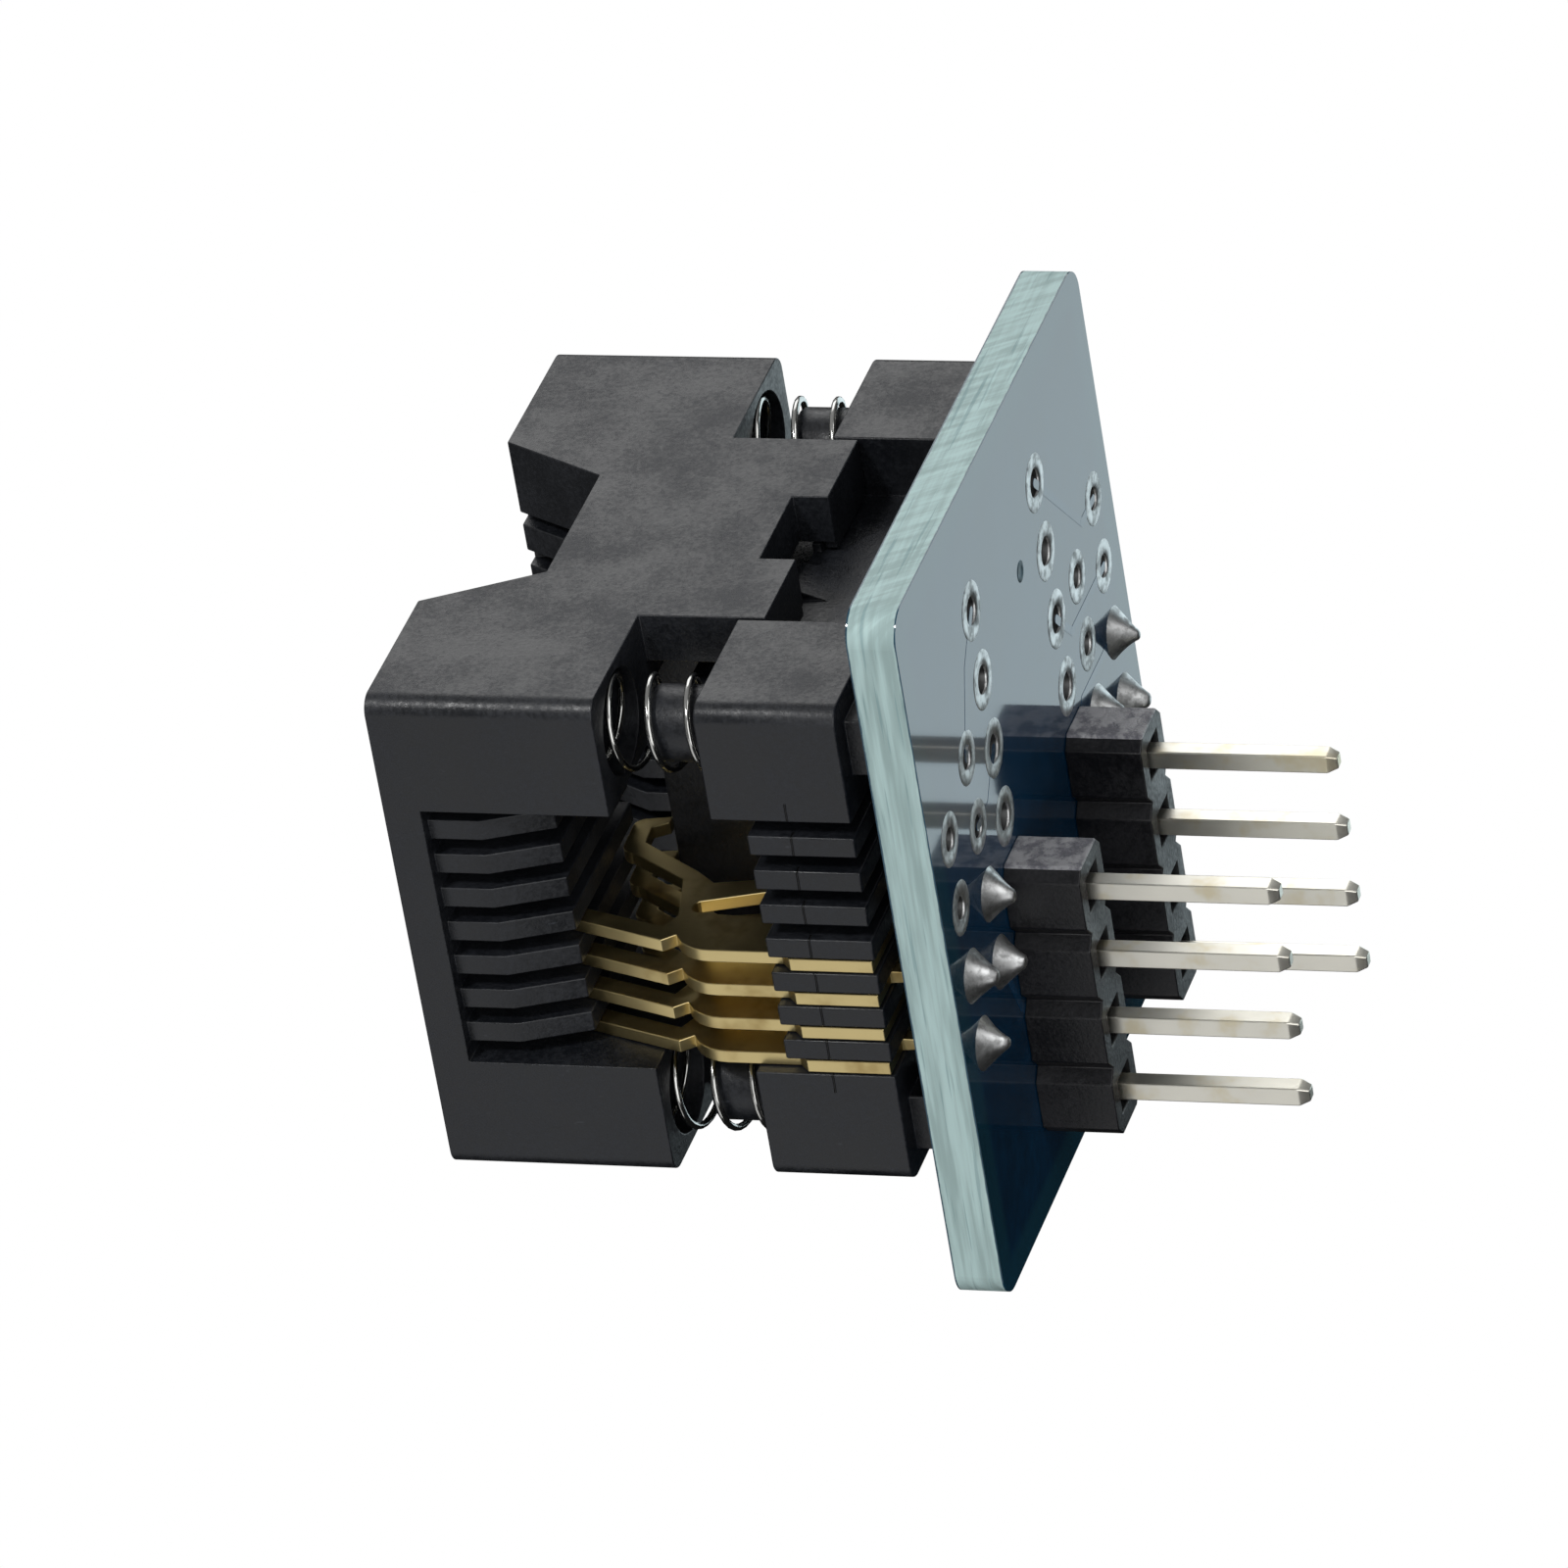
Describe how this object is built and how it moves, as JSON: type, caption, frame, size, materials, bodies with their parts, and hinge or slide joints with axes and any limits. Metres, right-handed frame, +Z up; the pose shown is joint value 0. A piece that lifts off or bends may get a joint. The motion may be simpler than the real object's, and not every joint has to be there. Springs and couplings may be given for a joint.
{
  "type": "integrated circuit test socket adapter",
  "caption": "Open-top sprung test socket for a small-outline chip, on a circuit board with two rows of pin headers below.",
  "frame": {"origin": "middle of the eight header pins, on the header's face that seats on the board it plugs into", "axes": "+Z up through the socket towards the cover, X along the rows of pins and contacts with the spare holes on +X, Y across the rows"},
  "size_m": [0.0254, 0.0218, 0.0265],
  "materials": {
    "board": "blue solder mask over glass-fibre laminate",
    "tin": "tinned copper",
    "solder": "bright solder",
    "header_plastic": "moulded black",
    "socket_plastic": "moulded, glass filled",
    "cover_plastic": "moulded, glass filled",
    "spring_steel": "drawn wire",
    "pin_plating": "gold flashed",
    "contact_gold": "stamped and gold plated"
  },
  "bodies": {
    "socket": {"circuit_board": "board", "annular_rings": "tin", "tail_solder": "solder", "header_solder": "solder", "header_strip_front": "header_plastic", "header_strip_back": "header_plastic", "base_body": "socket_plastic", "spring_1": "spring_steel", "spring_2": "spring_steel", "spring_3": "spring_steel", "spring_4": "spring_steel", "header_pin_front_1": "pin_plating", "header_pin_front_2": "pin_plating", "header_pin_front_3": "pin_plating", "header_pin_front_4": "pin_plating", "header_pin_back_1": "pin_plating", "header_pin_back_2": "pin_plating", "header_pin_back_3": "pin_plating", "header_pin_back_4": "pin_plating", "contact_front_1": "contact_gold", "contact_front_2": "contact_gold", "contact_front_3": "contact_gold", "contact_front_4": "contact_gold", "contact_back_1": "contact_gold", "contact_back_2": "contact_gold", "contact_back_3": "contact_gold", "contact_back_4": "contact_gold"},
    "cover": {"cover": "cover_plastic"}
  },
  "joints": [
    {"name": "cover_press", "type": "slide", "parent": "socket", "child": "cover", "axis": [0, 0, -1], "range_m": [0, 0.003], "stiffness_N_per_m": 1500, "springref_m": -0.002, "deforming": ["spring_1", "spring_2", "spring_3", "spring_4", "contact_front_1", "contact_front_2", "contact_front_3", "contact_front_4", "contact_back_1", "contact_back_2", "contact_back_3", "contact_back_4"]}
  ]
}
